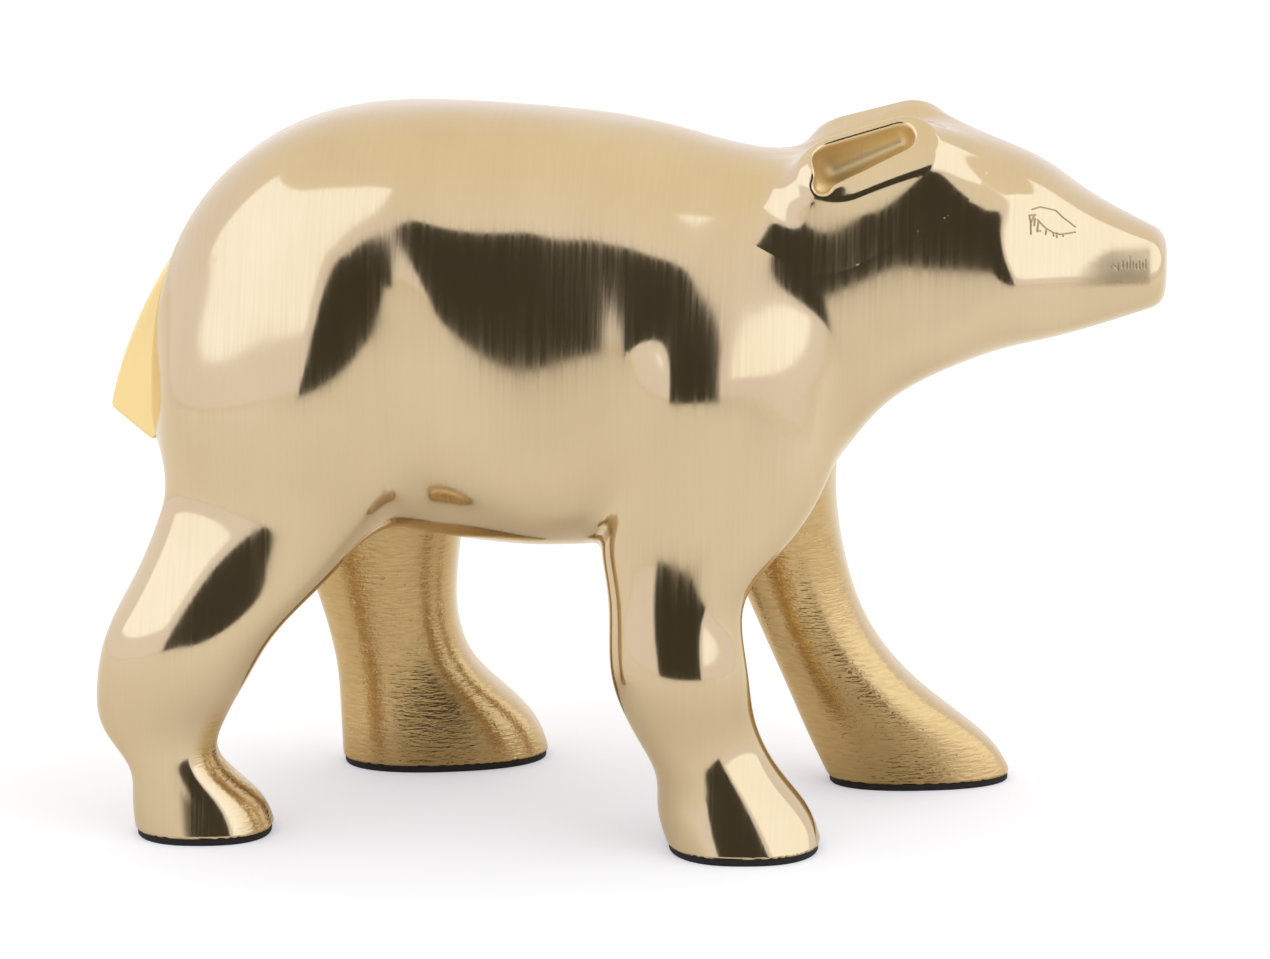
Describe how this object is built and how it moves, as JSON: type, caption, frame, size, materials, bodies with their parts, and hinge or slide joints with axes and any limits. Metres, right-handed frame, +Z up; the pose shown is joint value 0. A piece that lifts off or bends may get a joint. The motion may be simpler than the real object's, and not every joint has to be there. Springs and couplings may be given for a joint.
{
  "type": "bear figurine",
  "caption": "Polished brass ornament in the form of a walking bear cub with cupped ears, a wedge tail and flat feet on thin rubber pads, to stand on a shelf or table.",
  "frame": {"origin": "under the middle of the object's box, on the surface that the foot pads stand on", "axes": "+X forward, from tail to nose; +Y to the bear's left; +Z up"},
  "size_m": [0.175, 0.0718, 0.1201],
  "materials": {
    "polished_brass": "polished pale brass with fine brush lines",
    "filed_brass": "polished outside, left filed and grainy on the inner faces",
    "pad_rubber": "matt black sheet"
  },
  "bodies": {
    "root": {"right_shell": "polished_brass", "left_shell": "polished_brass", "right_front_leg": "filed_brass", "left_front_leg": "filed_brass", "right_hind_leg": "filed_brass", "left_hind_leg": "filed_brass", "right_ear": "polished_brass", "left_ear": "polished_brass", "tail": "polished_brass", "right_front_pad": "pad_rubber", "left_front_pad": "pad_rubber", "right_hind_pad": "pad_rubber", "left_hind_pad": "pad_rubber"}
  },
  "joints": []
}
